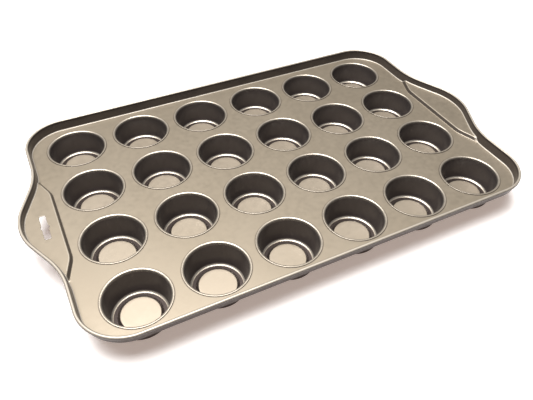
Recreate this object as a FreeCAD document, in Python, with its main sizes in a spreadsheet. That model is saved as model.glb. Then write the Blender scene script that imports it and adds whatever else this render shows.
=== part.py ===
import FreeCAD, Part

import math
import os

import Sketcher
from FreeCAD import Vector

# Muffin tin with 24 small cups, in millimetres.
# +X runs along the long side, +Y across it, +Z up. The origin is on the surface that
# the tin stands on, under the middle of the cup grid.
#
# The pan frame is one pressed sheet: a deck with a hole for each cup, an upright rim,
# a raised ear at each end, and an edge that is rolled round a steel wire. Each cup is
# drawn separately. Its flange lies on the deck, and a bead locks it under the hole.

DIMENSIONS = [
    # alias, value, meaning
    ("body_length", 385.0, "outer length over the rolled edge, without the ears"),
    ("body_width", 256.0, "outer width over the rolled edge"),
    ("corner_radius", 36.0, "outer radius of the four corners"),
    ("ear_reach", 20.1, "how far each ear stands out past the body"),
    ("ear_half_length", 69.5, "from the middle of an ear to where it blends in"),
    ("ear_tip_radius", 52.5, "outer radius round the middle of an ear"),
    ("ear_shoulder_radius", 67.4, "hollow radius between an ear and the side"),
    ("ear_lift", 3.0, "height of the ear floor above the deck"),
    ("ear_step_reach", 183.7, "from the middle of the tin to the ear's step, from below"),
    ("ear_step_bend", 38.0, "from the middle of the step to its bend"),
    ("ear_step_run_out", 14.0, "how far along X the step turns out past its bend"),
    ("ear_step_rise", 38.0, "how far along Y the step goes on past its bend"),
    ("ear_step_bend_radius", 22.0, "plan radius of that bend"),
    ("deck_height", 22.0, "top of the deck above the standing surface"),
    ("rim_height", 9.8, "top of the rolled edge above the deck"),
    ("sheet_thickness", 0.6, "steel sheet of the frame and of the cups"),
    ("bead_radius", 1.35, "outer radius of the rolled edge"),
    ("wire_radius", 0.72, "steel wire inside the rolled edge"),
    ("curl_end_inset", 0.4, "how far past the wire's middle the curl ends"),
    ("base_fillet", 1.6, "outer radius where a wall meets a floor"),
    ("step_top_fillet", 0.8, "radius under the ear's floor at the step"),
    ("pitch_along", 60.0, "cup spacing along X"),
    ("pitch_across", 61.1, "cup spacing along Y"),
    ("hole_radius", 24.95, "hole in the deck for a cup"),
    ("slot_reach", 194.4, "from the middle of the tin to the hanging slot"),
    ("slot_length", 27.0, "hanging slot, end to end"),
    ("slot_width", 4.9, "hanging slot, narrow part"),
    ("slot_end_fillet", 1.2, "corners of the hanging slot"),
    ("slot_eye_radius", 3.4, "round eye in the middle of the slot"),
    ("cup_flange_radius", 26.0, "outer edge of the flange on the deck"),
    ("cup_top_radius", 24.65, "outside of the cup wall at the flange's top"),
    ("cup_foot_radius", 21.65, "outside of the wall carried down to the foot"),
    ("cup_collar_radius", 24.15, "inside of the collar, within the wall's sheet"),
    ("cup_neck_radius", 24.9, "collar inside the hole of the deck"),
    ("cup_lock_radius", 25.75, "outer edge of the locking bead"),
    ("cup_lock_height", 1.5, "height of the locking bead"),
    ("cup_lip_fillet", 1.5, "rounding of the mouth"),
    ("cup_lock_fillet", 0.6, "rounding of the locking bead"),
    ("cup_flange_fillet", 0.25, "rounding of the flange's outer edge"),
    ("cup_foot_fillet", 3.2, "outer radius between wall and foot"),
    ("cup_ring_radius", 16.4, "inner edge of the foot ring"),
    ("cup_ring_fillet", 1.6, "outer radius along the foot ring's inner edge"),
    ("cup_disc_radius", 14.3, "edge of the pushed-up centre disc, from below"),
    ("cup_disc_rise", 1.8, "height of the disc above the foot ring"),
    ("cup_disc_fillet", 0.5, "radius under the disc's edge"),
]

# Expressions that several features share.
WALL_INSET = "2 * <bead_radius> - <sheet_thickness>"
DECK_UNDERSIDE = "<deck_height> - <sheet_thickness>"
FLANGE_TOP = "<deck_height> + <sheet_thickness>"
LOCK_BOTTOM = "<deck_height> - <sheet_thickness> - <cup_lock_height>"
WIRE_HEIGHT = "<deck_height> + <rim_height> - <bead_radius>"
WIRE_REACH = "<body_width> / 2 - <bead_radius>"

# A punch starts one thickness above the sheet and ends one below it.
PUNCH_DEPTH = "3 * <sheet_thickness>"

SIZE = {alias: value for alias, value, meaning in DIMENSIONS}
ROWS = 4
COLUMNS = 6
SHEET = "Dims"
UP = Vector(0, 0, 1)
NEAR = 1e-4

# Sketcher's numbers for the ends and centre of a piece of geometry, and for the axes.
START = 1
END = 2
CENTRE = 3
ORIGIN = (-1, 1)
HORIZONTAL_AXIS = -1
VERTICAL_AXIS = -2


def make_sheet(doc):
    """Put every driving dimension in the document's spreadsheet."""
    sheet = doc.addObject("Spreadsheet::Sheet", SHEET)
    for row, (alias, value, meaning) in enumerate(DIMENSIONS, start=1):
        sheet.set("A%d" % row, meaning)
        sheet.set("B%d" % row, str(value))
        sheet.setAlias("B%d" % row, alias)
    doc.recompute()


def bind(target, prop, text):
    """Drive a property by an expression in which <alias> is a spreadsheet cell."""
    target.setExpression(prop, text.replace("<", SHEET + ".").replace(">", ""))


def new_body(doc, name):
    body = doc.addObject("PartDesign::Body", name)
    body.Label = name
    return body


def origin_item(body, role):
    return next(item for item in body.Origin.OriginFeatures if item.Role == role)


def new_sketch(body, name, plane, height=None):
    """Add an empty sketch on an origin plane, lifted by an expression if one is given."""
    sketch = body.newObject("Sketcher::SketchObject", name)
    sketch.AttachmentSupport = [(origin_item(body, plane), "")]
    sketch.MapMode = "FlatFace"
    if height is not None:
        bind(sketch, "AttachmentOffset.Base.z", height)
    return sketch


def drawn_size(sketch, kind, places):
    """Size of a dimension as the geometry is drawn now."""
    if kind == "Radius":
        return sketch.Geometry[places[0]].Radius
    first = sketch.getPoint(places[0], places[1])
    second = sketch.getPoint(places[2], places[3])
    if kind == "DistanceX":
        return second.x - first.x
    return second.y - first.y


def dimension(sketch, kind, text, *places):
    """Add a dimension at its drawn size and bind it to the spreadsheet."""
    value = drawn_size(sketch, kind, places)
    index = sketch.addConstraint(Sketcher.Constraint(kind, *places, value))
    bind(sketch, "Constraints[%d]" % index, text)


def constrain(sketch, kind, *places):
    sketch.addConstraint(Sketcher.Constraint(kind, *places))


def draw_polygon(sketch, corners):
    """Closed polygon. A corner is x, y and the expressions that drive them."""
    points = [Vector(x, y, 0) for x, y, text_x, text_y in corners]
    lines = []
    for here, there in zip(points, points[1:] + points[:1]):
        lines.append(sketch.addGeometry(Part.LineSegment(here, there)))
    for line, following in zip(lines, lines[1:] + lines[:1]):
        constrain(sketch, "Coincident", line, END, following, START)
    for line, (x, y, text_x, text_y) in zip(lines, corners):
        if text_x == "0":
            constrain(sketch, "PointOnObject", line, START, VERTICAL_AXIS)
        else:
            dimension(sketch, "DistanceX", text_x, *ORIGIN, line, START)
        if text_y == "0":
            constrain(sketch, "PointOnObject", line, START, HORIZONTAL_AXIS)
        else:
            dimension(sketch, "DistanceY", text_y, *ORIGIN, line, START)


def draw_circle(sketch, centre, text_x, text_y, text_radius, radius):
    circle = sketch.addGeometry(Part.Circle(centre, UP, radius))
    dimension(sketch, "DistanceX", text_x, *ORIGIN, circle, CENTRE)
    dimension(sketch, "DistanceY", text_y, *ORIGIN, circle, CENTRE)
    dimension(sketch, "Radius", text_radius, circle)


def ear_angle():
    """Slope of an ear's side, from the tangent between its tip and shoulder circles."""
    both = SIZE["ear_tip_radius"] + SIZE["ear_shoulder_radius"]
    along = both - SIZE["ear_reach"]
    across = SIZE["ear_half_length"]
    return math.atan2(across, along) - math.acos(both / math.hypot(along, across))


def draw_quarter_outline(sketch, inset, inset_text, closed):
    """Quarter of the plan outline, from an ear's tip round a corner to the long side."""
    side = SIZE["body_length"] / 2 - inset
    far = SIZE["body_width"] / 2 - inset
    tip = side + SIZE["ear_reach"]
    tip_radius = SIZE["ear_tip_radius"] - inset
    hollow_radius = SIZE["ear_shoulder_radius"] + inset
    corner_radius = SIZE["corner_radius"] - inset
    ear_end = SIZE["ear_half_length"]
    angle = ear_angle()

    tip_centre = Vector(tip - tip_radius, 0, 0)
    hollow_centre = Vector(side + hollow_radius, ear_end, 0)
    corner_centre = Vector(side - corner_radius, far - corner_radius, 0)
    tip_circle = Part.Circle(tip_centre, UP, tip_radius)
    hollow_circle = Part.Circle(hollow_centre, UP, hollow_radius)
    corner_circle = Part.Circle(corner_centre, UP, corner_radius)
    slope_start = tip_circle.value(angle)
    slope_end = hollow_circle.value(math.pi + angle)

    tip_arc = sketch.addGeometry(Part.ArcOfCircle(tip_circle, 0, angle))
    slope = sketch.addGeometry(Part.LineSegment(slope_start, slope_end))
    hollow = sketch.addGeometry(Part.ArcOfCircle(hollow_circle, math.pi, math.pi + angle))
    side_line = sketch.addGeometry(
        Part.LineSegment(Vector(side, ear_end, 0), Vector(side, far - corner_radius, 0)))
    corner = sketch.addGeometry(Part.ArcOfCircle(corner_circle, 0, math.pi / 2))
    far_line = sketch.addGeometry(
        Part.LineSegment(Vector(side - corner_radius, far, 0), Vector(0, far, 0)))

    constrain(sketch, "PointOnObject", tip_arc, CENTRE, HORIZONTAL_AXIS)
    constrain(sketch, "PointOnObject", tip_arc, START, HORIZONTAL_AXIS)
    constrain(sketch, "Tangent", tip_arc, END, slope, START)
    constrain(sketch, "Tangent", slope, END, hollow, END)
    constrain(sketch, "Tangent", hollow, START, side_line, START)
    constrain(sketch, "Tangent", side_line, END, corner, START)
    constrain(sketch, "Tangent", corner, END, far_line, START)
    constrain(sketch, "PointOnObject", far_line, END, VERTICAL_AXIS)
    constrain(sketch, "Vertical", side_line)
    constrain(sketch, "Horizontal", far_line)

    less = " - (" + inset_text + ")"
    more = " + (" + inset_text + ")"
    half_length = "<body_length> / 2"
    dimension(sketch, "Radius", "<ear_tip_radius>" + less, tip_arc)
    dimension(sketch, "Radius", "<ear_shoulder_radius>" + more, hollow)
    dimension(sketch, "Radius", "<corner_radius>" + less, corner)
    dimension(sketch, "DistanceX", half_length + " + <ear_reach>" + less, *ORIGIN, tip_arc, START)
    dimension(sketch, "DistanceX", half_length + less, *ORIGIN, side_line, START)
    dimension(sketch, "DistanceY", "<ear_half_length>", *ORIGIN, side_line, START)
    dimension(sketch, "DistanceY", "<body_width> / 2" + less, *ORIGIN, far_line, END)

    if closed:
        origin = Vector(0, 0, 0)
        along = sketch.addGeometry(Part.LineSegment(origin, Vector(tip, 0, 0)))
        across = sketch.addGeometry(Part.LineSegment(Vector(0, far, 0), origin))
        constrain(sketch, "Coincident", along, START, *ORIGIN)
        constrain(sketch, "Coincident", along, END, tip_arc, START)
        constrain(sketch, "Coincident", across, START, far_line, END)
        constrain(sketch, "Coincident", across, END, *ORIGIN)


def pad(body, name, sketch, length):
    feature = body.newObject("PartDesign::Pad", name)
    feature.Profile = (sketch, [""])
    bind(feature, "Length", length)


def pocket(body, name, sketch, length, upwards=False):
    """Cut a sketch's shape out of the body, downwards unless told otherwise."""
    before = body.Tip.Shape.Volume
    feature = body.newObject("PartDesign::Pocket", name)
    feature.Profile = (sketch, [""])
    feature.Reversed = upwards
    bind(feature, "Length", length)
    body.Document.recompute()
    if feature.Shape.Volume > before - NEAR:
        raise RuntimeError(name + " cuts nothing")


def edges_where(shape, wanted):
    """Names of the edges whose middle point passes the test."""
    names = []
    for number, edge in enumerate(shape.Edges, start=1):
        middle = edge.valueAt((edge.FirstParameter + edge.LastParameter) / 2)
        if wanted(edge, middle):
            names.append("Edge%d" % number)
    return names


def fillet(body, name, radius, wanted):
    """Round the edges of the body's last feature that pass the test."""
    body.Document.recompute()
    base = body.Tip
    feature = body.newObject("PartDesign::Fillet", name)
    feature.Base = (base, edges_where(base.Shape, wanted))
    bind(feature, "Radius", radius)
    body.Document.recompute()


def hollow_out(body, name, wanted):
    """Turn the solid into sheet by taking away its inside and the chosen faces."""
    body.Document.recompute()
    base = body.Tip
    faces = []
    for number, face in enumerate(base.Shape.Faces, start=1):
        if wanted(face, face.CenterOfMass):
            faces.append("Face%d" % number)
    feature = body.newObject("PartDesign::Thickness", name)
    feature.Base = (base, faces)
    feature.Reversed = True
    bind(feature, "Value", "<sheet_thickness>")
    body.Document.recompute()


def mirror(body, name, plane):
    """Add the mirror image of everything made so far in the body."""
    feature = body.newObject("PartDesign::Mirrored", name)
    feature.TransformMode = "Whole shape"
    feature.MirrorPlane = (origin_item(body, plane), [""])
    body.Tip = feature
    body.Document.recompute()


def sweep(body, name, profile, path):
    """Carry a section along every edge of the path."""
    feature = body.newObject("PartDesign::AdditivePipe", name)
    feature.Profile = (profile, [""])
    feature.Spine = (path, ["Edge%d" % number for number in range(1, len(path.Geometry) + 1)])
    body.Document.recompute()


def revolve(body, name, sketch):
    feature = body.newObject("PartDesign::Revolution", name)
    feature.Profile = (sketch, [""])
    feature.ReferenceAxis = (sketch, ["V_Axis"])
    feature.Angle = 360
    body.Document.recompute()


def edge_path(body):
    """Quarter of the line that the wire's middle follows round the rim."""
    path = new_sketch(body, "edge_path", "XY_Plane", WIRE_HEIGHT)
    draw_quarter_outline(path, SIZE["bead_radius"], "<bead_radius>", closed=False)
    return path


def draw_ear_step(sketch):
    """Ground that an ear's floor covers: outside a line that bends out to the rim."""
    reach = SIZE["ear_step_reach"]
    bend = SIZE["ear_step_bend"]
    out = reach + SIZE["ear_step_run_out"]
    up = bend + SIZE["ear_step_rise"]
    tip = SIZE["body_length"] / 2 + SIZE["ear_reach"]
    reach_text = "<ear_step_reach>"
    bend_text = "<ear_step_bend>"
    out_text = "<ear_step_reach> + <ear_step_run_out>"
    up_text = "<ear_step_bend> + <ear_step_rise>"
    tip_text = "<body_length> / 2 + <ear_reach>"
    draw_polygon(sketch, [
        (reach, 0, reach_text, "0"),
        (tip, 0, tip_text, "0"),
        (tip, up, tip_text, up_text),
        (out, up, out_text, up_text),
        (reach, bend, reach_text, bend_text),
    ])


def draw_curl(sketch):
    """Section of the rolled sheet, from the wall's top over the wire and under it."""
    outer_radius = SIZE["bead_radius"]
    inner_radius = outer_radius - SIZE["sheet_thickness"]
    inset = SIZE["curl_end_inset"]
    height = SIZE["deck_height"] + SIZE["rim_height"] - outer_radius
    centre = Vector(SIZE["body_width"] / 2 - outer_radius, height, 0)
    outer_circle = Part.Circle(centre, UP, outer_radius)
    inner_circle = Part.Circle(centre, UP, inner_radius)
    outer_end = -math.pi / 2 - math.asin(inset / outer_radius)
    inner_end = -math.pi / 2 - math.asin(inset / inner_radius)

    outer = sketch.addGeometry(Part.ArcOfCircle(outer_circle, outer_end, math.pi))
    inner = sketch.addGeometry(Part.ArcOfCircle(inner_circle, inner_end, math.pi))
    at_wall = sketch.addGeometry(
        Part.LineSegment(outer_circle.value(math.pi), inner_circle.value(math.pi)))
    at_end = sketch.addGeometry(
        Part.LineSegment(inner_circle.value(inner_end), outer_circle.value(outer_end)))

    constrain(sketch, "Coincident", outer, CENTRE, inner, CENTRE)
    constrain(sketch, "Coincident", outer, END, at_wall, START)
    constrain(sketch, "Coincident", at_wall, END, inner, END)
    constrain(sketch, "Coincident", inner, START, at_end, START)
    constrain(sketch, "Coincident", at_end, END, outer, START)
    constrain(sketch, "Horizontal", outer, CENTRE, outer, END)
    constrain(sketch, "Horizontal", at_wall)
    constrain(sketch, "Vertical", at_end)
    dimension(sketch, "DistanceX", WIRE_REACH, *ORIGIN, outer, CENTRE)
    dimension(sketch, "DistanceY", WIRE_HEIGHT, *ORIGIN, outer, CENTRE)
    dimension(sketch, "DistanceX", "-<curl_end_inset>", outer, CENTRE, outer, START)
    dimension(sketch, "Radius", "<bead_radius>", outer)
    dimension(sketch, "Radius", "<bead_radius> - <sheet_thickness>", inner)


def draw_quarter_holes(sketch):
    """The deck's holes in one quarter of the grid."""
    for row in range(ROWS // 2):
        for column in range(COLUMNS // 2):
            along = column + 0.5
            across = row + 0.5
            centre = Vector(along * SIZE["pitch_along"], across * SIZE["pitch_across"], 0)
            text_x = "%.1f * <pitch_along>" % along
            text_y = "%.1f * <pitch_across>" % across
            draw_circle(sketch, centre, text_x, text_y, "<hole_radius>", SIZE["hole_radius"])


def draw_slot(sketch):
    """The narrow part of the hanging slot, in the ear on the -X side."""
    half_width = SIZE["slot_width"] / 2
    half_length = SIZE["slot_length"] / 2
    outer = -SIZE["slot_reach"] - half_width
    inner = -SIZE["slot_reach"] + half_width
    outer_text = "-<slot_reach> - <slot_width> / 2"
    inner_text = "-<slot_reach> + <slot_width> / 2"
    low_text = "-<slot_length> / 2"
    high_text = "<slot_length> / 2"
    draw_polygon(sketch, [
        (outer, -half_length, outer_text, low_text),
        (inner, -half_length, inner_text, low_text),
        (inner, half_length, inner_text, high_text),
        (outer, half_length, outer_text, high_text),
    ])


def make_frame(doc):
    """The pressed sheet. A quarter is made and mirrored, then the slot is punched."""
    body = new_body(doc, "pan_frame")
    underside = SIZE["deck_height"] - SIZE["sheet_thickness"]
    ear_underside = underside + SIZE["ear_lift"]
    wall_top = SIZE["deck_height"] + SIZE["rim_height"] - SIZE["bead_radius"]
    wall_inset = 2 * SIZE["bead_radius"] - SIZE["sheet_thickness"]
    side = SIZE["body_length"] / 2 - wall_inset

    def at_bend(edge, middle):
        from_bend = math.hypot(middle.x - SIZE["ear_step_reach"],
                               middle.y - SIZE["ear_step_bend"])
        return from_bend < NEAR

    def on_cut_plane(point):
        return point.x < NEAR or point.y < NEAR

    def at_riser_top(edge, middle):
        level = abs(middle.z - ear_underside) < NEAR
        return level and middle.x < side and not on_cut_plane(middle)

    def at_wall_foot(edge, middle):
        on_deck = abs(middle.z - underside) < NEAR
        on_ear = abs(middle.z - ear_underside) < NEAR and middle.x > side
        return (on_deck or on_ear) and not on_cut_plane(middle)

    def is_open(face, middle):
        return on_cut_plane(middle) or abs(middle.z - wall_top) < NEAR

    outline = new_sketch(body, "frame_outline", "XY_Plane", DECK_UNDERSIDE)
    draw_quarter_outline(outline, wall_inset, WALL_INSET, closed=True)
    pad(body, "frame_block", outline, WIRE_HEIGHT + " - (" + DECK_UNDERSIDE + ")")
    doc.recompute()

    step = new_sketch(body, "ear_step", "XY_Plane", DECK_UNDERSIDE)
    draw_ear_step(step)
    pocket(body, "ear_floor", step, "<ear_lift>", upwards=True)
    fillet(body, "ear_step_bend", "<ear_step_bend_radius>", at_bend)
    fillet(body, "riser_top", "<step_top_fillet>", at_riser_top)
    fillet(body, "wall_foot", "<base_fillet>", at_wall_foot)
    hollow_out(body, "frame_sheet", is_open)

    curl = new_sketch(body, "curl_section", "YZ_Plane")
    draw_curl(curl)
    sweep(body, "rolled_edge", curl, edge_path(body))

    holes = new_sketch(body, "cup_holes", "XY_Plane", FLANGE_TOP)
    draw_quarter_holes(holes)
    pocket(body, "cup_openings", holes, PUNCH_DEPTH)
    mirror(body, "other_side", "XZ_Plane")
    mirror(body, "other_end", "YZ_Plane")

    above_ear = "<deck_height> + <ear_lift> + <sheet_thickness>"
    slot = new_sketch(body, "slot_outline", "XY_Plane", above_ear)
    draw_slot(slot)
    pocket(body, "hanging_slot", slot, PUNCH_DEPTH)

    def at_slot_corner(edge, middle):
        off_end = abs(abs(middle.y) - SIZE["slot_length"] / 2)
        off_side = abs(abs(middle.x + SIZE["slot_reach"]) - SIZE["slot_width"] / 2)
        return off_end < NEAR and off_side < NEAR

    fillet(body, "slot_corners", "<slot_end_fillet>", at_slot_corner)
    eye = new_sketch(body, "eye_outline", "XY_Plane", above_ear)
    eye_centre = Vector(-SIZE["slot_reach"], 0, 0)
    circle = eye.addGeometry(Part.Circle(eye_centre, UP, SIZE["slot_eye_radius"]))
    constrain(eye, "PointOnObject", circle, CENTRE, HORIZONTAL_AXIS)
    dimension(eye, "DistanceX", "-<slot_reach>", *ORIGIN, circle, CENTRE)
    dimension(eye, "Radius", "<slot_eye_radius>", circle)
    pocket(body, "slot_eye", eye, PUNCH_DEPTH)
    return body


def make_wire(doc):
    """The steel wire inside the rolled edge."""
    body = new_body(doc, "rim_wire")
    section = new_sketch(body, "wire_section", "YZ_Plane")
    centre = Vector(SIZE["body_width"] / 2 - SIZE["bead_radius"],
                    SIZE["deck_height"] + SIZE["rim_height"] - SIZE["bead_radius"], 0)
    draw_circle(section, centre, WIRE_REACH, WIRE_HEIGHT, "<wire_radius>", SIZE["wire_radius"])
    sweep(body, "wire_quarter", section, edge_path(body))
    mirror(body, "wire_other_side", "XZ_Plane")
    mirror(body, "wire_other_end", "YZ_Plane")
    return body


def draw_cup_blank(sketch):
    """Half section of the drawn cup as a solid: foot, wall and pushed-up disc."""
    flange_top = SIZE["deck_height"] + SIZE["sheet_thickness"]
    rise = SIZE["cup_disc_rise"]
    draw_polygon(sketch, [
        (0, rise, "0", "<cup_disc_rise>"),
        (SIZE["cup_disc_radius"], rise, "<cup_disc_radius>", "<cup_disc_rise>"),
        (SIZE["cup_ring_radius"], 0, "<cup_ring_radius>", "0"),
        (SIZE["cup_foot_radius"], 0, "<cup_foot_radius>", "0"),
        (SIZE["cup_top_radius"], flange_top, "<cup_top_radius>", FLANGE_TOP),
        (0, flange_top, "0", FLANGE_TOP),
    ])


def draw_cup_collar(sketch):
    """Half section of the flange on the deck, the neck in its hole and the lock bead."""
    deck = SIZE["deck_height"]
    sheet = SIZE["sheet_thickness"]
    lock_bottom = deck - sheet - SIZE["cup_lock_height"]
    collar = SIZE["cup_collar_radius"]
    flange = SIZE["cup_flange_radius"]
    neck = SIZE["cup_neck_radius"]
    lock = SIZE["cup_lock_radius"]
    draw_polygon(sketch, [
        (collar, deck + sheet, "<cup_collar_radius>", FLANGE_TOP),
        (collar, lock_bottom, "<cup_collar_radius>", LOCK_BOTTOM),
        (lock, lock_bottom, "<cup_lock_radius>", LOCK_BOTTOM),
        (lock, deck - sheet, "<cup_lock_radius>", DECK_UNDERSIDE),
        (neck, deck - sheet, "<cup_neck_radius>", DECK_UNDERSIDE),
        (neck, deck, "<cup_neck_radius>", "<deck_height>"),
        (flange, deck, "<cup_flange_radius>", "<deck_height>"),
        (flange, deck + sheet, "<cup_flange_radius>", FLANGE_TOP),
    ])


def on_circle(radius, height):
    """Test for the edge that is a circle of this radius at this height."""
    def wanted(edge, middle):
        if not isinstance(edge.Curve, Part.Circle):
            return False
        return abs(edge.Curve.Radius - radius) < NEAR and abs(middle.z - height) < NEAR
    return wanted


def make_cup(doc, row, column):
    """One drawn cup, locked into its hole. Rows and columns count from one."""
    body = new_body(doc, "cup_r%d_c%d" % (row, column))
    deck = SIZE["deck_height"]
    sheet = SIZE["sheet_thickness"]
    lock_top = deck - sheet
    lock_bottom = lock_top - SIZE["cup_lock_height"]

    blank = new_sketch(body, "cup_section", "XZ_Plane")
    draw_cup_blank(blank)
    revolve(body, "cup_blank", blank)
    fillet(body, "foot_edge", "<cup_foot_fillet>", on_circle(SIZE["cup_foot_radius"], 0))
    fillet(body, "ring_edge", "<cup_ring_fillet>", on_circle(SIZE["cup_ring_radius"], 0))
    fillet(body, "disc_edge", "<cup_disc_fillet>",
           on_circle(SIZE["cup_disc_radius"], SIZE["cup_disc_rise"]))
    hollow_out(body, "cup_sheet", lambda face, middle: abs(middle.z - deck - sheet) < NEAR)

    collar = new_sketch(body, "collar_section", "XZ_Plane")
    draw_cup_collar(collar)
    revolve(body, "collar", collar)
    wall_lean = math.atan2(SIZE["cup_top_radius"] - SIZE["cup_foot_radius"], deck + sheet)
    mouth_radius = SIZE["cup_top_radius"] - sheet / math.cos(wall_lean)
    fillet(body, "mouth_lip", "<cup_lip_fillet>", on_circle(mouth_radius, deck + sheet))
    fillet(body, "flange_edge", "<cup_flange_fillet>",
           on_circle(SIZE["cup_flange_radius"], deck + sheet))
    fillet(body, "lock_top_edge", "<cup_lock_fillet>", on_circle(SIZE["cup_lock_radius"], lock_top))
    fillet(body, "lock_bottom_edge", "<cup_lock_fillet>",
           on_circle(SIZE["cup_lock_radius"], lock_bottom))

    bind(body, "Placement.Base.x", "%.1f * <pitch_along>" % (column - (COLUMNS + 1) / 2))
    bind(body, "Placement.Base.y", "%.1f * <pitch_across>" % (row - (ROWS + 1) / 2))
    return body


def check_document(doc, bodies):
    """Stop if any object has failed or a sub-part isn't one valid solid."""
    for item in doc.Objects:
        if "Invalid" in item.State or "Error" in item.State:
            raise RuntimeError("failed object: " + item.Label)
    for body in bodies:
        shape = body.Shape
        if shape.isNull() or not shape.isValid() or len(shape.Solids) != 1:
            raise RuntimeError("bad shape: " + body.Label)


def main():
    doc = FreeCAD.newDocument("muffin_tin")
    make_sheet(doc)
    bodies = [make_frame(doc), make_wire(doc)]
    for row in range(1, ROWS + 1):
        for column in range(1, COLUMNS + 1):
            bodies.append(make_cup(doc, row, column))
    doc.recompute()
    check_document(doc, bodies)
    os.makedirs("parts", exist_ok=True)
    for body in bodies:
        body.Shape.exportStep("parts/" + body.Label + ".step")
        print("%-12s %9.1f mm3" % (body.Label, body.Shape.Volume))


main()
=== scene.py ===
import math

import bpy
from mathutils import Matrix, Vector
from mathutils.geometry import delaunay_2d_cdt
from mathutils.kdtree import KDTree


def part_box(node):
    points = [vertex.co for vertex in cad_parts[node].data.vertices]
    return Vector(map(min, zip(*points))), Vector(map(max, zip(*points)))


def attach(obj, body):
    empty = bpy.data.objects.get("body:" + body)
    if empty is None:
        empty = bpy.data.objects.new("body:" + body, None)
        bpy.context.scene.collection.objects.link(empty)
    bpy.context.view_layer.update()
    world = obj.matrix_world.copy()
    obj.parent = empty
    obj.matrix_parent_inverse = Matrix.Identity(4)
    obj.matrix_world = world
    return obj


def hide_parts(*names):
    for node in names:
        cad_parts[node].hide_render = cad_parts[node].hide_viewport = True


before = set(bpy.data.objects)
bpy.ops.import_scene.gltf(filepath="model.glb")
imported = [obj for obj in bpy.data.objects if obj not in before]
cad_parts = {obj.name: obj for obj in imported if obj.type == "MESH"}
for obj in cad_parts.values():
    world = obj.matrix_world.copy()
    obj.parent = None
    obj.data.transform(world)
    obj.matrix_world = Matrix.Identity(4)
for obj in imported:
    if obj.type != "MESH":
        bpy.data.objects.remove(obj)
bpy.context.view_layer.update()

# A muffin tin in metres, in the frame's own axes: +X along the tin, +Y to the far side,
# +Z up, and the floor at z = 0. Lengths written as millimetres are multiplied by MM.
MM = 0.001

# ---------------------------------------------------------------- sizes from the frame
ROWS = 4
COLUMNS = 6
FRAME_LOW, FRAME_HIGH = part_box("pan_frame")
WIRE_LOW, WIRE_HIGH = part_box("rim_wire")
CUP_LOW, CUP_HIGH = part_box("cup_r1_c1")
SHEET = 0.6 * MM
FLANGE_TOP = CUP_HIGH[2]
DECK = FLANGE_TOP - SHEET
FLANGE_RADIUS = (CUP_HIGH[0] - CUP_LOW[0]) / 2
WIRE_RADIUS = 0.72 * MM
WIRE_HEIGHT = WIRE_HIGH[2] - WIRE_RADIUS
BEAD_RADIUS = FRAME_HIGH[2] - WIRE_HEIGHT

# Plan of the frame, measured to the line of the wire's middle.
TIP = FRAME_HIGH[0] - BEAD_RADIUS
FAR = FRAME_HIGH[1] - BEAD_RADIUS
EAR_REACH = 20.1 * MM
SIDE = TIP - EAR_REACH
EAR_HALF_LENGTH = 69.5 * MM
TIP_RADIUS = 52.5 * MM - BEAD_RADIUS
HOLLOW_RADIUS = 67.4 * MM + BEAD_RADIUS
CORNER_RADIUS = 36.0 * MM - BEAD_RADIUS

# Section of the rim: a wall that leans out from a rounded foot to the rolled edge. The flat
# floor ends FLOOR_EDGE inside the wire's line.
WALL_LEAN = math.radians(4.5)
WALL_DROP = WIRE_HEIGHT - DECK
FOOT_RADIUS = 1.2 * MM
FOOT_STEPS = 9
FLOOR_EDGE = ((BEAD_RADIUS + WALL_DROP * math.sin(WALL_LEAN)) / math.cos(WALL_LEAN)
              + FOOT_RADIUS * math.tan((math.pi / 2 - WALL_LEAN) / 2))
CURL_END_INSET = 0.4 * MM
CURL_STEPS = 30

# The ears' raised floors. A step starts STEP_START past its line and slopes up between
# two bends, which take BENDS_RISE of its height.
EAR_LIFT = 3.0 * MM
STEP_REACH = 183.1 * MM
STEP_BEND = 38.0 * MM
STEP_TURN = math.atan2(14.0, 38.0)
STEP_BEND_RADIUS = 22.0 * MM
STEP_RADIUS = 0.9 * MM
STEP_SLOPE = math.radians(60.0)
BENDS_RISE = 2 * STEP_RADIUS * (1 - math.cos(STEP_SLOPE))
STEP_RUN = (2 * STEP_RADIUS * math.sin(STEP_SLOPE)
            + (EAR_LIFT - BENDS_RISE) / math.tan(STEP_SLOPE))
STEP_START = -1.8 * MM

HOLE_RADIUS = 24.95 * MM
SLOT_REACH = 194.4 * MM
SLOT_HALF_LENGTH = 13.5 * MM
SLOT_HALF_WIDTH = 2.45 * MM
SLOT_CORNER = 1.2 * MM
SLOT_EYE = 3.4 * MM
SLOT_EDGE = 0.15 * MM
SLOT_RINGS = ((0.15, 0.0), (0.04, 0.05), (0.0, 0.15), (0.0, 0.45), (0.04, 0.55), (0.15, 0.6))

# Painted highlight and painted shade on the frame's coating, from 0 to 1: the wall's foot,
# the bead's top, the step's upper bend and the slot's edge get painted highlights, and the
# bead's sides, the step's slope and the seam round each flange get painted shade. Of the bead,
# the inner side is shaded above BEAD_INNER of its radius, and the outer side between two heights.
FOOT_HIGHLIGHT = 0.9
FOOT_HIGHLIGHT_ROWS = range(2, 7)
BEAD_HIGHLIGHT = 0.85
BEAD_SHADE = 0.9
BEAD_INNER = 0.75
BEAD_OUTER_LOW = -0.15
BEAD_OUTER_HIGH = 0.5
STEP_HIGHLIGHT = 0.6
STEP_HIGHLIGHT_REACH = 0.9 * MM
SLOPE_SHADE = 0.4
SLOT_HIGHLIGHT = 0.8
SEAM_SHADE = 0.7

# ----------------------------------------------------------------------------- camera
CAMERA_PLACE = Vector((-0.1766, -0.3314, 0.3339))
CAMERA_AIM = Vector((-0.0252, -0.0434, 0.0220))
CAMERA_ROLL = math.radians(1.55)
CAMERA_LENS = 36.8


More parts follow.
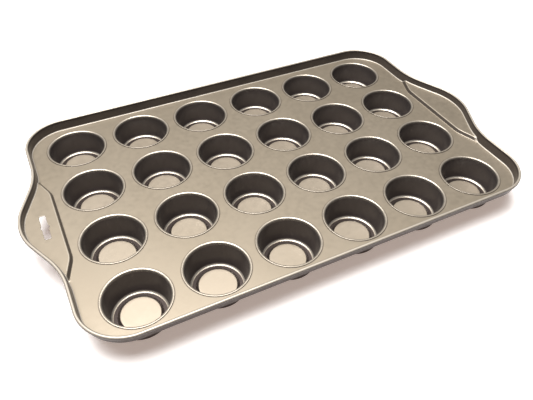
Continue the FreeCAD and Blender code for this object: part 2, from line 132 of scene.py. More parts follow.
def make_camera():
    data = bpy.data.cameras.new("camera")
    data.lens = CAMERA_LENS
    data.clip_start = 0.01
    camera = bpy.data.objects.new("camera", data)
    bpy.context.scene.collection.objects.link(camera)
    look = (CAMERA_AIM - CAMERA_PLACE).to_track_quat("-Z", "Y").to_matrix()
    turn = look @ Matrix.Rotation(CAMERA_ROLL, 3, "Z")
    camera.matrix_world = Matrix.Translation(CAMERA_PLACE) @ turn.to_4x4()
    bpy.context.scene.camera = camera


make_camera()

# ---------------------------------------------------------------------- small helpers


def arc(centre, radius, start, end, steps):
    """Points round an arc in a plane, from start to end in degrees."""
    points = []
    for step in range(steps + 1):
        angle = math.radians(start + (end - start) * step / steps)
        points.append((centre[0] + radius * math.cos(angle),
                       centre[1] + radius * math.sin(angle)))
    return points


def between(first, second, steps):
    """Points inside a straight run, without its ends."""
    return [(first[0] + (second[0] - first[0]) * step / steps,
             first[1] + (second[1] - first[1]) * step / steps) for step in range(1, steps)]


def make_object(name, vertices, faces, sharp=(), **attributes):
    """Smooth-shaded mesh object. sharp holds pairs of vertex numbers, and each attribute
    one number from 0 to 1 for each vertex."""
    mesh = bpy.data.meshes.new(name)
    mesh.from_pydata(vertices, [], faces)
    mesh.shade_smooth()
    if sharp:
        wanted = {tuple(sorted(pair)) for pair in sharp}
        flags = [tuple(sorted(edge.vertices)) in wanted for edge in mesh.edges]
        mesh.attributes.new("sharp_edge", "BOOLEAN", "EDGE").data.foreach_set("value", flags)
    for attribute, values in attributes.items():
        mesh.attributes.new(attribute, "FLOAT", "POINT").data.foreach_set("value", values)
    obj = bpy.data.objects.new(name, mesh)
    bpy.context.scene.collection.objects.link(obj)
    return obj


def ring_faces(first, second, reverse=False):
    """Quads between two closed loops of vertex numbers."""
    faces = []
    for index in range(len(first)):
        after = (index + 1) % len(first)
        quad = (first[index], first[after], second[after], second[index])
        faces.append(quad[::-1] if reverse else quad)
    return faces


def loop_edges(loop):
    return [(loop[index], loop[(index + 1) % len(loop)]) for index in range(len(loop))]


# ------------------------------------------------------------------- the frame's plan


def ear_angle():
    """Slope of an ear's side, from the tangent between its tip and hollow circles."""
    both = TIP_RADIUS + HOLLOW_RADIUS
    along = both - EAR_REACH
    return math.atan2(EAR_HALF_LENGTH, along) - math.acos(both / math.hypot(along, EAR_HALF_LENGTH))


def quarter_outline():
    """(x, y, normal x, normal y) along the wire's line, from an ear's tip to x = 0."""
    angle = math.degrees(ear_angle())
    tip_centre = (TIP - TIP_RADIUS, 0.0)
    hollow_centre = (SIDE + HOLLOW_RADIUS, EAR_HALF_LENGTH)
    corner_centre = (SIDE - CORNER_RADIUS, FAR - CORNER_RADIUS)
    tip_arc = arc(tip_centre, TIP_RADIUS, 0, angle, 22)
    hollow_arc = arc(hollow_centre, HOLLOW_RADIUS, 180 + angle, 180, 44)
    corner_arc = arc(corner_centre, CORNER_RADIUS, 0, 90, 60)
    rows = []

    def add_round(centre, points, sign=1.0):
        for x, y in points:
            away = Vector((x - centre[0], y - centre[1])).normalized() * sign
            rows.append((x, y, away.x, away.y))

    def add_straight(points):
        normal = rows[-1][2:]
        rows.extend((x, y, *normal) for x, y in points)

    add_round(tip_centre, tip_arc)
    add_straight(between(tip_arc[-1], hollow_arc[0], 14))
    add_round(hollow_centre, hollow_arc, sign=-1.0)
    add_straight(between(hollow_arc[-1], corner_arc[0], 8))
    add_round(corner_centre, corner_arc)
    add_straight(between(corner_arc[-1], (0.0, FAR), 44))
    add_straight([(0.0, FAR)])
    return rows


def full_outline():
    """The whole loop, anticlockwise from the tip of the +X ear."""
    first = quarter_outline()
    second = [(-x, y, -nx, ny) for x, y, nx, ny in reversed(first)][1:]
    upper = first + second
    lower = [(x, -y, nx, -ny) for x, y, nx, ny in reversed(upper)][1:-1]
    return upper + lower


OUTLINE = full_outline()


def past_step(x, y):
    """How far a point lies past the line of an ear's step, towards the ear."""
    x, y = abs(x), abs(y)
    bend_start = STEP_BEND - STEP_BEND_RADIUS * math.tan(STEP_TURN / 2)
    inwards = STEP_REACH + STEP_BEND_RADIUS - x
    onwards = y - bend_start
    turn = math.atan2(onwards, inwards)
    if turn <= 0:
        return x - STEP_REACH
    if turn < STEP_TURN:
        return STEP_BEND_RADIUS - math.hypot(inwards, onwards)
    return STEP_BEND_RADIUS - inwards * math.cos(STEP_TURN) - onwards * math.sin(STEP_TURN)


def step_height(past):
    """Height above the deck at a distance past the step's line: a slope between two bends."""
    along = past - STEP_START
    bend = STEP_RADIUS * math.sin(STEP_SLOPE)
    if along <= 0:
        return 0.0
    if along < bend:
        return STEP_RADIUS - math.sqrt(STEP_RADIUS ** 2 - along ** 2)
    if along <= STEP_RUN - bend:
        return BENDS_RISE / 2 + (along - bend) * math.tan(STEP_SLOPE)
    left = STEP_RUN - along
    if left > 0:
        return EAR_LIFT - STEP_RADIUS + math.sqrt(STEP_RADIUS ** 2 - left ** 2)
    return EAR_LIFT


def floor_height(x, y, below=False):
    """Height of the deck and ears, on their top side or below the sheet."""
    past = past_step(x, y)
    if below:
        return DECK - SHEET + step_height(past - SHEET * math.tan(STEP_SLOPE / 2))
    return DECK + step_height(past)


def slot_outline(grow):
    """The hanging slot, anticlockwise, with its round eye. grow widens it all round."""
    half_width = SLOT_HALF_WIDTH + grow
    half_length = SLOT_HALF_LENGTH + grow
    corner = SLOT_CORNER + grow
    eye = SLOT_EYE + grow
    open_angle = math.degrees(math.acos(half_width / eye))
    side = half_width - corner
    end = half_length - corner
    points = arc((0, 0), eye, -open_angle, open_angle, 12)
    points += between(points[-1], (half_width, end), 8)
    points += arc((side, end), corner, 0, 90, 6)
    points += arc((-side, end), corner, 90, 180, 6)
    points += between((-half_width, end), (-half_width, eye * math.sin(math.radians(open_angle))), 8)
    points += arc((0, 0), eye, 180 - open_angle, 180 + open_angle, 12)
    points += between(points[-1], (-half_width, -end), 8)
    points += arc((-side, -end), corner, 180, 270, 6)
    points += arc((side, -end), corner, 270, 360, 6)
    points += between((half_width, -end), (half_width, -eye * math.sin(math.radians(open_angle))), 8)
    return [(x - SLOT_REACH, y) for x, y in points]


# --------------------------------------------------------------------- the pan frame


def cup_centres():
    """(row, column, x, y) of each cup. Row 1 is nearest to -Y and column 1 to -X."""
    pitch_along = (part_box("cup_r1_c2")[0][0] - CUP_LOW[0])
    pitch_across = (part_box("cup_r2_c1")[0][1] - CUP_LOW[1])
    for row in range(1, ROWS + 1):
        for column in range(1, COLUMNS + 1):
            yield (row, column, (column - (COLUMNS + 1) / 2) * pitch_along,
                   (row - (ROWS + 1) / 2) * pitch_across)


CENTRES = list(cup_centres())
HOLE_POINTS = 96
FLOOR_GRID = 5.0 * MM
GRID_ALONG = 42
GRID_ACROSS = 24

# Painted shade in the seam round each flange fades out between these distances from it.
SEAM = 0.1 * MM
SEAM_END = 0.8 * MM

# Loops round the slot keep its edge's shading smooth.
SLOT_LOOPS = (SLOT_EDGE + 0.3 * MM, SLOT_EDGE + 1.5 * MM)

# The floor's grid keeps clear of everything that has points of its own.
SLOT_CLEAR_ALONG = 6.0 * MM
SLOT_CLEAR_ACROSS = 16.0 * MM
STEP_CLEAR = 3.5 * MM
HOLE_CLEAR = 2.0 * MM
RIM_CLEAR = 2.0 * MM
STEP_RIM_CLEAR = 0.6 * MM

# Rows of points along a step, in millimetres past its line.
STEP_SPACING = 1.5 * MM
STEP_OFFSETS = (-2.4, -1.8, -1.6, -1.4, -1.2, -1.02, -0.8, -0.6, -0.4, -0.2, 0.0,
                0.2, 0.4, 0.6, 0.8, 1.0, 1.2, 1.7)


def step_rows():
    """Rows of points along both steps, as lists, kept clear of the rim."""
    bend_start = STEP_BEND - STEP_BEND_RADIUS * math.tan(STEP_TURN / 2)
    middle = [(STEP_REACH, bend_start * index / 12, -1.0, 0.0) for index in range(12)]
    centre = (STEP_REACH + STEP_BEND_RADIUS, bend_start)
    for index in range(7):
        turn = STEP_TURN * index / 6
        middle.append((centre[0] - STEP_BEND_RADIUS * math.cos(turn),
                       centre[1] + STEP_BEND_RADIUS * math.sin(turn),
                       -math.cos(turn), math.sin(turn)))
    last = middle[-1]
    for index in range(1, 40):
        length = STEP_SPACING * index
        middle.append((last[0] + length * math.sin(STEP_TURN),
                       last[1] + length * math.cos(STEP_TURN), last[2], last[3]))
    rows = []
    for offset in STEP_OFFSETS:
        upper = [(x - nx * offset * MM, y - ny * offset * MM) for x, y, nx, ny in middle]
        for sign in (1, -1):
            half = [(sign * x, y) for x, y in upper if clear_of_rim(x, y)]
            rows.append([(x, -y) for x, y in reversed(half[1:])] + half)
    return rows


OUTLINE_TREE = KDTree(len(OUTLINE))
for number, (x, y, nx, ny) in enumerate(OUTLINE):
    OUTLINE_TREE.insert((x, y, 0.0), number)
OUTLINE_TREE.balance()


def rim_distance(x, y):
    """Distance from a point to the floor's edge, positive inside it."""
    px, py, nx, ny = OUTLINE[OUTLINE_TREE.find((x, y, 0.0))[1]]
    return (px - x) * nx + (py - y) * ny - FLOOR_EDGE


def clear_of_rim(x, y):
    return rim_distance(x, y) > STEP_RIM_CLEAR


def cup_distance(x, y):
    """Distance from a point to the middle of the nearest cup."""
    return min(math.hypot(x - cx, y - cy) for row, column, cx, cy in CENTRES)


def is_inside(loop, x, y):
    """Whether a point is inside a closed loop of points."""
    inside = False
    for (x1, y1), (x2, y2) in zip(loop, loop[1:] + loop[:1]):
        if (y1 > y) != (y2 > y) and x < x1 + (x2 - x1) * (y - y1) / (y2 - y1):
            inside = not inside
    return inside


def triangulate_floor():
    """Plan of the sheet's flat parts: points, triangles, and the loops of its edges."""
    points = []
    edges = []

    def add_loop(loop):
        numbers = list(range(len(points), len(points) + len(loop)))
        points.extend(loop)
        edges.extend(loop_edges(numbers))
        return numbers

    rim_loop = add_loop([(x - nx * FLOOR_EDGE, y - ny * FLOOR_EDGE) for x, y, nx, ny in OUTLINE])
    hole_loops = []
    for row, column, x, y in CENTRES:
        step = 360 / HOLE_POINTS
        hole_loops.append(add_loop(arc((x, y), HOLE_RADIUS, 0, 360 - step, HOLE_POINTS - 1)))
        for reach in (SEAM, SEAM_END):
            add_loop(arc((x, y), FLANGE_RADIUS + reach, 0, 360 - step, HOLE_POINTS - 1))
    slot_loop = add_loop(slot_outline(SLOT_EDGE))
    for grow in SLOT_LOOPS:
        add_loop(slot_outline(grow))

    for row in step_rows():
        numbers = range(len(points), len(points) + len(row))
        points.extend(row)
        edges.extend(zip(numbers[:-1], numbers[1:]))

    for across in range(-GRID_ACROSS, GRID_ACROSS + 1):
        for along in range(-GRID_ALONG, GRID_ALONG + 1):
            x, y = along * FLOOR_GRID, across * FLOOR_GRID
            near_slot = abs(x + SLOT_REACH) < SLOT_CLEAR_ALONG and abs(y) < SLOT_CLEAR_ACROSS
            near_step = abs(past_step(x, y)) < STEP_CLEAR
            near_hole = cup_distance(x, y) < HOLE_RADIUS + HOLE_CLEAR
            if not (near_slot or near_step or near_hole) and rim_distance(x, y) > RIM_CLEAR:
                points.append((x, y))

    plan, _, triangles, sources, _, _ = delaunay_2d_cdt(
        [Vector(point) for point in points], edges, [], 0, 1e-7, True)
    number_of = {}
    for number, originals in enumerate(sources):
        for original in originals:
            number_of[original] = number

    slot = slot_outline(SLOT_EDGE)

    def is_sheet(triangle):
        x = sum(plan[number].x for number in triangle) / 3
        y = sum(plan[number].y for number in triangle) / 3
        if rim_distance(x, y) < 0 or cup_distance(x, y) < HOLE_RADIUS * 0.9995:
            return False
        return not is_inside(slot, x, y)

    triangles = [tuple(triangle) for triangle in triangles if is_sheet(triangle)]
    loops = [[number_of[number] for number in loop] for loop in [rim_loop, *hole_loops, slot_loop]]
    return [(point.x, point.y) for point in plan], triangles, loops


def rim_section():
    """Section of the rim from the floor's edge up, over the bead, and back below.

    A row is (inset from the wire's line, share, extra, below, painted highlight, painted shade).
    Its height is share of the way from the floor's height to the wire's, plus extra."""
    lean = math.degrees(WALL_LEAN)
    foot = arc((FLOOR_EDGE, FOOT_RADIUS), FOOT_RADIUS, 270, 180 + lean, FOOT_STEPS)
    # A painted highlight line runs along the middle rows of the wall's foot fillet.
    rows = [(x, 0.0, z, False, FOOT_HIGHLIGHT * (number in FOOT_HIGHLIGHT_ROWS), 0.0)
            for number, (x, z) in enumerate(foot)]
    low_x, low_z = foot[-1]
    high_x = BEAD_RADIUS * math.cos(WALL_LEAN)
    high_z = BEAD_RADIUS * math.sin(WALL_LEAN)
    for share in (0.25, 0.5, 0.75):
        rows.append((low_x + (high_x - low_x) * share, share,
                     low_z + (high_z - low_z) * share, False, 0.0, 0.0))
    end_angle = 270 + math.degrees(math.asin(CURL_END_INSET / BEAD_RADIUS))
    for x, z in arc((0.0, 0.0), BEAD_RADIUS, lean, end_angle, CURL_STEPS):
        across, up = x / BEAD_RADIUS, z / BEAD_RADIUS
        # Painted shade on the bead's inner side and on a band of its outer side; a painted highlight
        # grows towards its top.
        shaded = across > BEAD_INNER or (across < 0 and BEAD_OUTER_LOW < up < BEAD_OUTER_HIGH)
        rows.append((x, 1.0, z, False, BEAD_HIGHLIGHT * max(up, 0.0), BEAD_SHADE * shaded))
    inner_radius = BEAD_RADIUS - SHEET
    end_angle = 270 + math.degrees(math.asin(CURL_END_INSET / inner_radius))
    # Painted shade all over the inside of the curl and the underside of the foot.
    rows += [(x, 1.0, z, False, 0.0, 1.0)
             for x, z in arc((0.0, 0.0), inner_radius, end_angle, lean, 16)]
    foot = arc((FLOOR_EDGE, FOOT_RADIUS), FOOT_RADIUS + SHEET, 180 + lean, 270, FOOT_STEPS)
    rows += [(x, 0.0, z + SHEET, True, 0.0, 1.0) for x, z in foot]
    return rows


def build_frame():
    plan, triangles, loops = triangulate_floor()
    rim_loop, *hole_loops, slot_loop = loops
    below = len(plan)
    vertices = [(x, y, floor_height(x, y)) for x, y in plan]
    vertices += [(x, y, floor_height(x, y, below=True)) for x, y in plan]
    # Painted highlight on the step's upper bend. Painted shade round each flange, on the step's
    # slope, and all over the underside.
    wear = [step_wear(x, y) for x, y in plan] + [0.0] * below
    seam = FLANGE_RADIUS + (SEAM + SEAM_END) / 2
    dark = [SEAM_SHADE * (cup_distance(x, y) < seam) + SLOPE_SHADE * on_slope(x, y)
            for x, y in plan]
    dark += [1.0] * below
    faces = list(triangles)
    faces += [tuple(below + number for number in reversed(triangle)) for triangle in triangles]
    sharp = []

    section = rim_section()
    rings = [rim_loop]
    heights = {}
    for side in (False, True):
        heights[side] = [floor_height(x - nx * FLOOR_EDGE, y - ny * FLOOR_EDGE, below=side)
                         for x, y, nx, ny in OUTLINE]
    for inset, share, extra, side, highlit, shaded in section[1:-1]:
        rings.append(list(range(len(vertices), len(vertices) + len(OUTLINE))))
        for (x, y, nx, ny), floor in zip(OUTLINE, heights[side]):
            vertices.append((x - nx * inset, y - ny * inset,
                             floor + (WIRE_HEIGHT - floor) * share + extra))
            wear.append(highlit)
            dark.append(shaded)
    rings.append([below + number for number in rim_loop])
    for first, second in zip(rings[:-1], rings[1:]):
        faces += ring_faces(first, second, reverse=True)
    bead_rows = [number for number, row in enumerate(section) if row[1] == 1.0]
    curl_end = bead_rows[CURL_STEPS]
    sharp += loop_edges(rings[curl_end]) + loop_edges(rings[curl_end + 1])

    for loop in hole_loops:
        lower = [below + number for number in loop]
        faces += ring_faces(loop, lower)
        sharp += loop_edges(loop) + loop_edges(lower)

    rings = [slot_loop]
    for grow, depth in SLOT_RINGS[1:-1]:
        rings.append(list(range(len(vertices), len(vertices) + len(slot_loop))))
        for x, y in slot_outline(grow * MM):
            vertices.append((x, y, DECK + EAR_LIFT - depth * MM))
            # Painted highlight on the slot's edge.
            wear.append(SLOT_HIGHLIGHT)
            dark.append(0.0)
    rings.append([below + number for number in slot_loop])
    for first, second in zip(rings[:-1], rings[1:]):
        faces += ring_faces(first, second)

    return make_object("frame_sheet", vertices, faces, sharp, wear=wear, dark=dark)


def on_slope(x, y):
    """Whether a point is on the steep middle of an ear's step."""
    along = past_step(x, y) - STEP_START
    return 0.5 * STEP_RADIUS < along < STEP_RUN - STEP_RADIUS


def step_wear(x, y):
    """Painted highlight along the upper bend of an ear's step, away from the rim."""
    if rim_distance(x, y) < RIM_CLEAR:
        return 0.0
    off = abs(past_step(x, y) - STEP_START - STEP_RUN) / STEP_HIGHLIGHT_REACH
    return max(0.0, 1 - off) * STEP_HIGHLIGHT


def build_wire():
    """The steel wire inside the rolled edge."""
    vertices = []
    rings = []
    for x, z in arc((0.0, 0.0), WIRE_RADIUS, 0, 360 - 360 / 16, 15):
        rings.append(list(range(len(vertices), len(vertices) + len(OUTLINE))))
        vertices += [(px - nx * x, py - ny * x, WIRE_HEIGHT + z) for px, py, nx, ny in OUTLINE]
    faces = []
    for index, ring in enumerate(rings):
        faces += ring_faces(ring, rings[(index + 1) % len(rings)], reverse=True)
    return make_object("edge_wire", vertices, faces)


# -------------------------------------------------------------------------- the cups
CUP_SEGMENTS = 96
TOP_RADIUS = 24.65 * MM
BOTTOM_RADIUS = 21.65 * MM
NECK_RADIUS = 24.9 * MM
LOCK_RADIUS = 25.75 * MM
LOCK_HEIGHT = 1.5 * MM
LIP_FILLET = 1.5 * MM
LOCK_FILLET = 0.6 * MM
FLANGE_FILLET = 0.25 * MM
FOOT_FILLET = 3.2 * MM
RING_RADIUS = 16.4 * MM
RING_FILLET = 1.6 * MM
DISC_RADIUS = 14.3 * MM
DISC_RISE = 1.8 * MM
DISC_FILLET = 0.5 * MM
TROUGH_INNER = 14.6 * MM
TROUGH_OUTER = 19.5 * MM
ABOVE_TROUGH = DISC_RISE + SHEET
# Painted highlight on each row round a cup's foot fillet.
CUP_FOOT_HIGHLIGHT = (0.0, 0.0, 0.2, 0.8, 1.0, 1.0, 0.6, 0.1, 0.0, 0.0)


def offset_corners(corners, distance):
    """Corners of a line of straight runs, moved sideways to the left of its direction."""
    lines = []
    for (x1, z1), (x2, z2) in zip(corners[:-1], corners[1:]):
        length = math.hypot(x2 - x1, z2 - z1)
        normal = (-(z2 - z1) / length, (x2 - x1) / length)
        lines.append((normal, normal[0] * x1 + normal[1] * z1 + distance))
    moved = []
    for (first, first_reach), (second, second_reach) in zip(lines[:-1], lines[1:]):
        turn = first[0] * second[1] - first[1] * second[0]
        moved.append(((first_reach * second[1] - second_reach * first[1]) / turn,
                      (second_reach * first[0] - first_reach * second[0]) / turn))
    return moved


def rounded_corner(before, corner, after, radius, steps):
    """Points of the arc that rounds a corner between two straight runs."""
    here = Vector(corner)
    back = (Vector(before) - here).normalized()
    onwards = (Vector(after) - here).normalized()
    half = back.angle(onwards) / 2
    centre = here + (back + onwards).normalized() * (radius / math.sin(half))
    start = (here + back * (radius / math.tan(half)) - centre).normalized()
    end = (here + onwards * (radius / math.tan(half)) - centre).normalized()
    points = []
    for step in range(steps + 1):
        spoke = centre + start.slerp(end, step / steps) * radius
        points.append((spoke.x, spoke.y))
    return points


def cup_profile():
    """Half section of a cup's sheet as (radius, height, sharp, painted highlight, painted shade),
    from the middle of the disc's top, over the lip, and back to the middle of its underside."""
    outside = [(0.0, DISC_RISE), (DISC_RADIUS, DISC_RISE), (RING_RADIUS, 0.0),
               (BOTTOM_RADIUS, 0.0), (TOP_RADIUS, FLANGE_TOP)]
    above = offset_corners(outside, SHEET)
    wall = above[-1]
    lean = (TOP_RADIUS - BOTTOM_RADIUS) / FLANGE_TOP
    mouth = (wall[0] + lean * (FLANGE_TOP - wall[1]), FLANGE_TOP)
    lock_top = DECK - SHEET
    lock_bottom = lock_top - LOCK_HEIGHT
    collar = (BOTTOM_RADIUS + lean * lock_bottom, lock_bottom)

    # Corner, rounding radius, steps round it, points in the run before it, and painted highlight.
    # The first six are the sheet's top side. Below them the coating has painted shade.
    top_side = [
        ((0.0, DISC_RISE + SHEET), 0, 0, 0, 0.0),
        (above[0], DISC_FILLET + SHEET, 5, 6, 0.0),
        (above[1], RING_FILLET - SHEET, 5, 1, 0.0),
        (above[2], FOOT_FILLET - SHEET, 9, 3, CUP_FOOT_HIGHLIGHT),
        (mouth, LIP_FILLET, 10, 9, 0.55),
        ((FLANGE_RADIUS, FLANGE_TOP), FLANGE_FILLET, 3, 1, 0.3),
    ]
    underside = [
        ((FLANGE_RADIUS, DECK), 0, 0, 1, 0.0),
        ((NECK_RADIUS, DECK), 0, 0, 1, 0.0),
        ((NECK_RADIUS, lock_top), 0, 0, 1, 0.0),
        ((LOCK_RADIUS, lock_top), LOCK_FILLET, 4, 1, 0.0),
        ((LOCK_RADIUS, lock_bottom), LOCK_FILLET, 4, 1, 0.0),
        (collar, 0, 0, 1, 0.0),
        (outside[3], FOOT_FILLET, 9, 8, 0.0),
        (outside[2], RING_FILLET, 5, 3, 0.0),
        (outside[1], DISC_FILLET, 4, 1, 0.0),
        (outside[0], 0, 0, 6, 0.0),
    ]
    corners = top_side + underside
    rows = []

    def add_row(x, z, sharp, highlit, below):
        # Painted shade in the trough round the disc, as well as underneath.
        in_trough = not below and z < ABOVE_TROUGH and TROUGH_INNER < x < TROUGH_OUTER
        rows.append((x, z, sharp, highlit, float(below or in_trough)))

    for index, (corner, radius, steps, run, wear) in enumerate(corners):
        below = index >= len(top_side)
        if radius:
            points = rounded_corner(corners[index - 1][0], corner, corners[index + 1][0],
                                    radius, steps)
        else:
            points = [corner]
        if rows:
            for x, z in between(rows[-1][:2], points[0], run):
                add_row(x, z, False, 0.0, below)
        for number, (x, z) in enumerate(points):
            highlit = wear if isinstance(wear, float) else wear[number]
            add_row(x, z, not radius and corner[0] > 0, highlit, below)
    return rows


def build_cup(name, x, y, profile):
    """A cup turned about the upright line at x, y."""
    vertices = [(x, y, profile[0][1])]
    wear = [profile[0][3]]
    dark = [profile[0][4]]
    rings = []
    sharp = []
    for radius, height, is_sharp, highlit, shaded in profile[1:-1]:
        ring = list(range(len(vertices), len(vertices) + CUP_SEGMENTS))
        step = 360 / CUP_SEGMENTS
        for px, py in arc((x, y), radius, 0, 360 - step, CUP_SEGMENTS - 1):
            vertices.append((px, py, height))
            wear.append(highlit)
            dark.append(shaded)
        rings.append(ring)
        if is_sharp:
            sharp += loop_edges(ring)
    vertices.append((x, y, profile[-1][1]))
    wear.append(profile[-1][3])
    dark.append(profile[-1][4])
    last = len(vertices) - 1
    faces = [(0, start, end) for start, end in loop_edges(rings[0])]
    faces += [(last, end, start) for start, end in loop_edges(rings[-1])]
    for first, second in zip(rings[:-1], rings[1:]):
        faces += ring_faces(first, second, reverse=True)
    return make_object(name, vertices, faces, sharp, wear=wear, dark=dark)


# ------------------------------------------------------------------------- materials
# Painted shade: near-black colour for the painted shade attribute.
SHADE_COLOUR = (0.048, 0.035, 0.030)
# Painted highlight: pale colour for the painted highlight attribute.
HIGHLIGHT_COLOUR = (0.62, 0.57, 0.50)

# Upright part of the normal below which a surface is steep, and above which it is flat.
STEEP = 0.35
FLAT = 0.88


def new_material(name, settings):
    """Material with a Principled BSDF, and its node tree."""
    material = bpy.data.materials.new(name)
    material.use_nodes = True
    tree = material.node_tree
    shader = tree.nodes["Principled BSDF"]
    for socket, value in settings.items():
        shader.inputs[socket].default_value = value
    return material, tree, shader


def add_node(tree, kind, properties=None, inputs=None):
    node = tree.nodes.new(kind)
    for name, value in (properties or {}).items():
        setattr(node, name, value)
    for name, value in (inputs or {}).items():
        node.inputs[name].default_value = value
    return node


def add_noise(tree, scale, detail=2.0, roughness=0.5):
    """Noise over the object, with scale in lumps per metre."""
    place = add_node(tree, "ShaderNodeTexCoord")
    noise = add_node(tree, "ShaderNodeTexNoise",
                     inputs={"Scale": scale, "Detail": detail, "Roughness": roughness})
    tree.links.new(place.outputs["Object"], noise.inputs["Vector"])
    return noise.outputs["Fac"]


def ramp(tree, source, stops):
    """Colours along a 0 to 1 value."""
    node = add_node(tree, "ShaderNodeValToRGB")
    elements = node.color_ramp.elements
    while len(elements) < len(stops):
        elements.new(0.5)
    for element, (position, colour) in zip(elements, stops):
        element.position = position
        element.color = (*colour, 1.0)
    tree.links.new(source, node.inputs["Fac"])
    return node.outputs["Color"]


def map_range(tree, source, low, high, start=0.3, end=0.7):
    node = add_node(tree, "ShaderNodeMapRange",
                    inputs={"From Min": start, "From Max": end, "To Min": low, "To Max": high})
    tree.links.new(source, node.inputs["Value"])
    return node.outputs["Result"]


def mix_colours(tree, amount, first, second):
    """From a linked colour to a plain one, by a linked amount."""
    node = add_node(tree, "ShaderNodeMixRGB", inputs={"Color2": (*second, 1.0)})
    tree.links.new(amount, node.inputs["Fac"])
    tree.links.new(first, node.inputs["Color1"])
    return node.outputs["Color"]


def combine(tree, operation, first, second):
    node = add_node(tree, "ShaderNodeMath", {"operation": operation})
    tree.links.new(first, node.inputs[0])
    tree.links.new(second, node.inputs[1])
    return node.outputs["Value"]


def bump(tree, source, depth, under=None):
    """Bump whose lumps are about depth metres high."""
    node = add_node(tree, "ShaderNodeBump", inputs={"Strength": 1.0, "Distance": depth})
    tree.links.new(source, node.inputs["Height"])
    if under:
        tree.links.new(under, node.inputs["Normal"])
    return node.outputs["Normal"]


def coating(name, darker, lighter, steep_shade, under, smooth, rough, polished):
    """Satin metallic non-stick coating on pressed sheet. Painted shade makes steep walls darker
    and turns the coating near-black where the painted shade attribute is set, underneath
    among other places. A painted highlight makes it paler where the painted highlight attribute
    is set, and also takes polished off the roughness."""
    material, tree, shader = new_material(name, {
        "Metallic": 0.75, "Coat Roughness": 0.22, "Coat IOR": 1.5})
    clouds = add_noise(tree, 14.0, detail=3.0)
    grain = add_noise(tree, 2600.0, detail=2.0)
    mottle = add_noise(tree, 260.0, detail=3.0)
    swell = add_noise(tree, 22.0, detail=1.0)
    colour = ramp(tree, clouds, [(0.25, darker), (0.75, lighter)])
    # Painted shade: steep surfaces are mixed towards a darker colour for steep walls.
    facing = add_node(tree, "ShaderNodeSeparateXYZ")
    tree.links.new(add_node(tree, "ShaderNodeNewGeometry").outputs["Normal"],
                   facing.inputs["Vector"])
    slope = map_range(tree, facing.outputs["Z"], 1.0, 0.0, start=STEEP, end=FLAT)
    colour = mix_colours(tree, slope, colour, steep_shade)
    # Painted shade: this attribute mixes in the near-black shade colour and thins the coat.
    below = add_node(tree, "ShaderNodeAttribute", {"attribute_name": "dark"}).outputs["Fac"]
    colour = mix_colours(tree, below, colour, under)
    tree.links.new(map_range(tree, below, 0.6, 0.1, start=0.0, end=1.0),
                   shader.inputs["Coat Weight"])
    # Painted highlight: this attribute mixes in a paler colour and changes the roughness.
    highlit = add_node(tree, "ShaderNodeAttribute", {"attribute_name": "wear"}).outputs["Fac"]
    paler = map_range(tree, highlit, 0.0, 0.6, start=0.2, end=1.0)
    colour = mix_colours(tree, paler, colour, HIGHLIGHT_COLOUR)
    tree.links.new(colour, shader.inputs["Base Color"])
    polish = map_range(tree, highlit, 0.0, polished, start=0.0, end=1.0)
    base = map_range(tree, mottle, smooth, rough)
    tree.links.new(combine(tree, "SUBTRACT", base, polish), shader.inputs["Roughness"])
    normal = bump(tree, swell, 0.05 * MM)
    normal = bump(tree, mottle, 0.004 * MM, under=normal)
    normal = bump(tree, grain, 0.004 * MM, under=normal)
    tree.links.new(normal, shader.inputs["Normal"])
    return material


def drawn_steel():
    """Bright drawn steel wire."""
    material, tree, shader = new_material("drawn_steel", {"Metallic": 1.0})
    clouds = add_noise(tree, 120.0, detail=3.0)
    colour = ramp(tree, clouds, [(0.3, (0.42, 0.42, 0.43)), (0.7, (0.55, 0.55, 0.56))])
    tree.links.new(colour, shader.inputs["Base Color"])
    tree.links.new(map_range(tree, clouds, 0.28, 0.42), shader.inputs["Roughness"])
    tree.links.new(bump(tree, add_noise(tree, 1500.0), 0.01 * MM), shader.inputs["Normal"])
    return material


def pale_floor():
    material, tree, shader = new_material("studio_floor", {
        "Roughness": 0.9, "Emission Color": (1.0, 0.80, 0.70, 1.0), "Emission Strength": 0.38})
    colour = ramp(tree, add_noise(tree, 3.0), [(0.0, (0.86, 0.86, 0.86)), (1.0, (0.88, 0.88, 0.88))])
    tree.links.new(colour, shader.inputs["Base Color"])
    return material


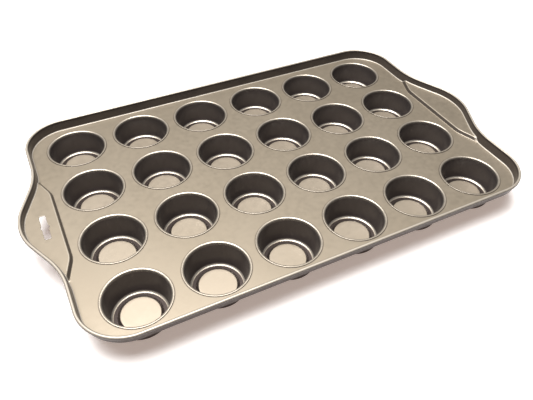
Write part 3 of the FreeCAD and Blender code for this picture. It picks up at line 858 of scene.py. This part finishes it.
# ------------------------------------------------------------------------------ build
# Each coating's fourth colour is painted shade on steep walls, and its fifth the near-black painted
# shade colour.
frame_coating = coating("frame_coating", (0.286, 0.238, 0.176), (0.316, 0.265, 0.200),
                        (0.098, 0.082, 0.074), SHADE_COLOUR, 0.46, 0.54, -0.12)
cup_coating = coating("cup_coating", (0.345, 0.288, 0.218), (0.375, 0.316, 0.245),
                      (0.100, 0.084, 0.080), SHADE_COLOUR, 0.45, 0.53, 0.14)
wire_steel = drawn_steel()

sheet = build_frame()
sheet.data.materials.append(frame_coating)
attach(sheet, "root")
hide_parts("pan_frame")

wire = build_wire()
wire.data.materials.append(wire_steel)
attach(wire, "root")
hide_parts("rim_wire")

profile = cup_profile()
for row, column, x, y in CENTRES:
    cup = build_cup("cup_%d_%d" % (row, column), x, y, profile)
    cup.data.materials.append(cup_coating)
    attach(cup, "root")
    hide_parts("cup_r%d_c%d" % (row, column))

# ------------------------------------------------------------------------------ stage


def add_floor():
    half = 6.0
    corners = [(-half, -half, 0.0), (half, -half, 0.0), (half, half, 0.0), (-half, half, 0.0)]
    floor = make_object("studio_floor", corners, [(0, 1, 2, 3)])
    floor.data.materials.append(pale_floor())


def add_softbox(name, place, aim, width, height, watts):
    data = bpy.data.lights.new(name, "AREA")
    data.shape = "RECTANGLE"
    data.size = width
    data.size_y = height
    data.energy = watts
    light = bpy.data.objects.new(name, data)
    light.location = place
    light.rotation_euler = (Vector(aim) - Vector(place)).to_track_quat("-Z", "Y").to_euler()
    bpy.context.scene.collection.objects.link(light)


def set_world(colour, strength):
    world = bpy.data.worlds.new("studio")
    world.use_nodes = True
    background = world.node_tree.nodes["Background"]
    background.inputs["Color"].default_value = (*colour, 1.0)
    background.inputs["Strength"].default_value = strength
    bpy.context.scene.world = world


add_floor()
add_softbox("key", (-0.20, 0.08, 1.50), (0.0, 0.0, 0.0), 1.1, 1.1, 59.0)
set_world((1.0, 0.97, 0.94), 0.10)
bpy.context.scene.view_settings.view_transform = "Standard"
